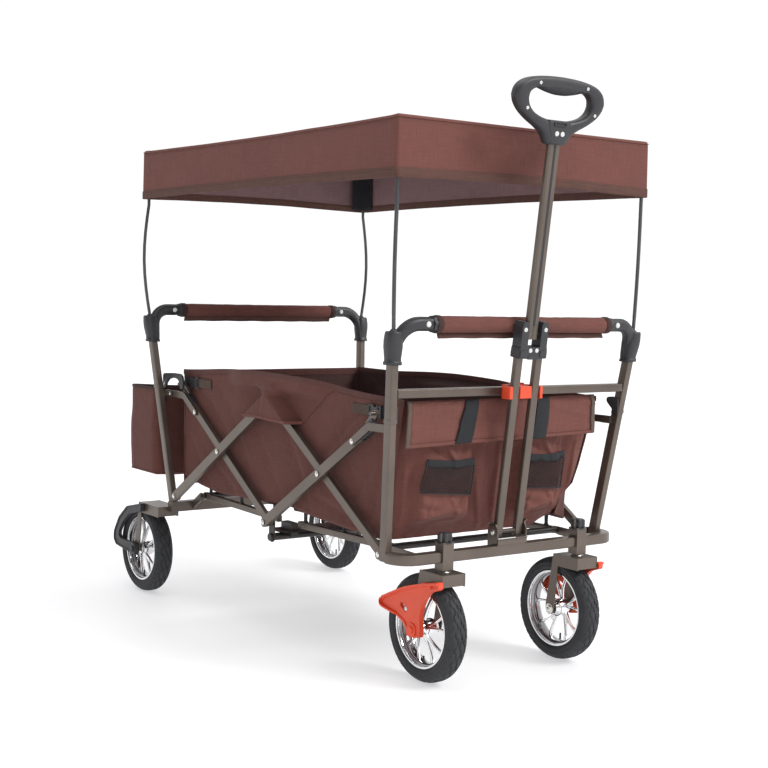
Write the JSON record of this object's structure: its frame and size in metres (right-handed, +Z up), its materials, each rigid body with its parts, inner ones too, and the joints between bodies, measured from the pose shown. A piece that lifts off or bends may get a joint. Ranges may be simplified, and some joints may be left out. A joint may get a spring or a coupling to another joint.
{
  "type": "folding wagon",
  "caption": "Folding wagon with a soft tub, a flat sun canopy on sprung rods, caster wheels in front, brake levers and a folding pull handle.",
  "frame": {"origin": "on the floor, under the centre of the wagon's bounding box", "axes": "+Z up, +Y lengthwise from the pulling end towards the rear bag, +X across to the right side as seen from the pulling end's back"},
  "size_m": [0.6174, 1.2086, 1.1008],
  "materials": {
    "bronze_metal": "satin powder coat",
    "black_plastic": "matte moulded",
    "red_plastic": "satin moulded",
    "brown_fabric": "woven",
    "tyre_rubber": "matte",
    "chrome_rim": "chrome plated",
    "rod_metal": "satin"
  },
  "bodies": {
    "rear_frame": {"rear_post_left": "bronze_metal", "rear_post_right": "bronze_metal", "rear_axle_beam": "bronze_metal", "rear_elbow_left": "black_plastic", "rear_elbow_right": "black_plastic", "rear_handlebar": "brown_fabric", "rear_canopy_hoop": "rod_metal", "rear_rest_hook_left": "black_plastic", "rear_rest_hook_right": "black_plastic", "rear_bag": "brown_fabric", "tub_rear": "brown_fabric", "canopy_rear": "brown_fabric"},
    "bars_b": {"side_bar_b_left": "bronze_metal", "side_bar_b_right": "bronze_metal"},
    "bars_a": {"side_bar_a_left": "bronze_metal", "side_bar_a_right": "bronze_metal"},
    "bars_c": {"side_bar_c_left": "bronze_metal", "side_bar_c_right": "bronze_metal"},
    "bars_d": {"side_bar_d_left": "bronze_metal", "side_bar_d_right": "bronze_metal"},
    "centre": {"centre_cross_tube": "brown_fabric", "tub_middle": "brown_fabric"},
    "front_frame": {"front_post_left": "bronze_metal", "front_post_right": "bronze_metal", "front_lower_beam": "bronze_metal", "front_upper_crossbar": "bronze_metal", "handle_clip": "red_plastic", "front_elbow_left": "black_plastic", "front_elbow_right": "black_plastic", "front_handlebar": "brown_fabric", "front_canopy_hoop": "rod_metal", "front_rest_hook_left": "black_plastic", "front_rest_hook_right": "black_plastic", "tub_front": "brown_fabric", "canopy_front": "brown_fabric"},
    "rear_floor": {"rear_floor_board": "brown_fabric"},
    "front_floor": {"front_floor_board": "brown_fabric"},
    "rear_links": {"rear_brace_left": "bronze_metal", "rear_brace_right": "bronze_metal"},
    "front_links": {"front_brace_left": "bronze_metal", "front_brace_right": "bronze_metal"},
    "handle_lower": {"handle_lower_tubes": "brown_fabric", "handle_knuckle": "black_plastic"},
    "handle_upper": {"handle_upper_tube": "brown_fabric", "handle_grip": "black_plastic"},
    "rear_wheel_left": {"rear_wheel_left_tyre": "tyre_rubber", "rear_wheel_left_rim": "chrome_rim"},
    "rear_brake_left": {"rear_brake_guard_left": "black_plastic"},
    "caster_left": {"caster_fork_left": "bronze_metal"},
    "front_wheel_left": {"front_wheel_left_tyre": "tyre_rubber", "front_wheel_left_rim": "chrome_rim"},
    "front_brake_left": {"front_brake_lever_left": "red_plastic"},
    "rear_wheel_right": {"rear_wheel_right_tyre": "tyre_rubber", "rear_wheel_right_rim": "chrome_rim"},
    "rear_brake_right": {"rear_brake_guard_right": "black_plastic"},
    "caster_right": {"caster_fork_right": "bronze_metal"},
    "front_wheel_right": {"front_wheel_right_tyre": "tyre_rubber", "front_wheel_right_rim": "chrome_rim"},
    "front_brake_right": {"front_brake_lever_right": "red_plastic"}
  },
  "joints": [
    {"name": "fold_lengthwise", "type": "hinge", "parent": "rear_frame", "child": "bars_b", "pos_m": [0, 0.3663, 0.238], "axis": [-1, 0, 0], "range_deg": [0, 38]},
    {"name": "rear_scissor", "type": "hinge", "parent": "bars_b", "child": "bars_a", "pos_m": [0, 0.1703, 0.36047], "axis": [-1, 0, 0], "range_deg": [-76, 0]},
    {"name": "top_hub", "type": "hinge", "parent": "bars_b", "child": "bars_c", "pos_m": [0, -0.0257, 0.48295], "axis": [-1, 0, 0], "range_deg": [-76, 0]},
    {"name": "front_scissor", "type": "hinge", "parent": "bars_c", "child": "bars_d", "pos_m": [0, -0.2217, 0.36047], "axis": [-1, 0, 0], "range_deg": [0, 76]},
    {"name": "bottom_hub", "type": "hinge", "parent": "bars_a", "child": "centre", "pos_m": [0, -0.0257, 0.238], "axis": [-1, 0, 0], "range_deg": [0, 38]},
    {"name": "front_corner", "type": "hinge", "parent": "bars_c", "child": "front_frame", "pos_m": [0, -0.4177, 0.238], "axis": [-1, 0, 0], "range_deg": [0, 38]},
    {"name": "rear_floor_lift", "type": "hinge", "parent": "rear_frame", "child": "rear_floor", "pos_m": [0, 0.3293, 0.2405], "axis": [-1, 0, 0], "range_deg": [0, 83.6]},
    {"name": "front_floor_lift", "type": "hinge", "parent": "front_frame", "child": "front_floor", "pos_m": [0, -0.3807, 0.2405], "axis": [1, 0, 0], "range_deg": [0, 83.6]},
    {"name": "rear_brace_swing", "type": "hinge", "parent": "rear_frame", "child": "rear_links", "pos_m": [0, 0.3983, 0.468], "axis": [-1, 0, 0], "range_deg": [0, 69.16]},
    {"name": "front_brace_swing", "type": "hinge", "parent": "front_frame", "child": "front_links", "pos_m": [0, -0.4497, 0.468], "axis": [1, 0, 0], "range_deg": [0, 69.16]},
    {"name": "handle_tilt", "type": "hinge", "parent": "front_frame", "child": "handle_lower", "pos_m": [-0.01, -0.4842, 0.272], "axis": [1, 0, 0], "range_deg": [0, 75]},
    {"name": "handle_fold", "type": "hinge", "parent": "handle_lower", "child": "handle_upper", "pos_m": [-0.01, -0.53198, 0.63991], "axis": [-1, 0, 0], "range_deg": [-130, 0]},
    {"name": "caster_swivel_left", "type": "hinge", "parent": "front_frame", "child": "caster_left", "pos_m": [-0.163, -0.4907, 0.21], "axis": [0, 0, 1], "continuous": true},
    {"name": "front_wheel_spin_left", "type": "hinge", "parent": "caster_left", "child": "front_wheel_left", "pos_m": [-0.163, -0.4457, 0.1], "axis": [1, 0, 0], "continuous": true},
    {"name": "front_brake_press_left", "type": "hinge", "parent": "caster_left", "child": "front_brake_left", "pos_m": [-0.163, -0.4457, 0.1], "axis": [-1, 0, 0], "range_deg": [0, 10]},
    {"name": "rear_wheel_spin_left", "type": "hinge", "parent": "rear_frame", "child": "rear_wheel_left", "pos_m": [-0.263, 0.4993, 0.1], "axis": [1, 0, 0], "continuous": true},
    {"name": "rear_brake_press_left", "type": "hinge", "parent": "rear_frame", "child": "rear_brake_left", "pos_m": [-0.263, 0.4993, 0.1], "axis": [-1, 0, 0], "range_deg": [0, 10]},
    {"name": "caster_swivel_right", "type": "hinge", "parent": "front_frame", "child": "caster_right", "pos_m": [0.163, -0.4907, 0.21], "axis": [0, 0, 1], "continuous": true},
    {"name": "front_wheel_spin_right", "type": "hinge", "parent": "caster_right", "child": "front_wheel_right", "pos_m": [0.163, -0.4457, 0.1], "axis": [1, 0, 0], "continuous": true},
    {"name": "front_brake_press_right", "type": "hinge", "parent": "caster_right", "child": "front_brake_right", "pos_m": [0.163, -0.4457, 0.1], "axis": [-1, 0, 0], "range_deg": [0, 10]},
    {"name": "rear_wheel_spin_right", "type": "hinge", "parent": "rear_frame", "child": "rear_wheel_right", "pos_m": [0.263, 0.4993, 0.1], "axis": [1, 0, 0], "continuous": true},
    {"name": "rear_brake_press_right", "type": "hinge", "parent": "rear_frame", "child": "rear_brake_right", "pos_m": [0.263, 0.4993, 0.1], "axis": [-1, 0, 0], "range_deg": [0, 10]}
  ],
  "couplings": [
    {"joint": "rear_scissor", "follows": "fold_lengthwise", "ratio": -2},
    {"joint": "top_hub", "follows": "fold_lengthwise", "ratio": -2},
    {"joint": "front_scissor", "follows": "fold_lengthwise", "ratio": 2},
    {"joint": "bottom_hub", "follows": "fold_lengthwise", "ratio": 1},
    {"joint": "front_corner", "follows": "fold_lengthwise", "ratio": 1},
    {"joint": "rear_floor_lift", "follows": "fold_lengthwise", "ratio": 2.2},
    {"joint": "front_floor_lift", "follows": "fold_lengthwise", "ratio": 2.2},
    {"joint": "rear_brace_swing", "follows": "fold_lengthwise", "ratio": 1.82},
    {"joint": "front_brace_swing", "follows": "fold_lengthwise", "ratio": 1.82}
  ]
}
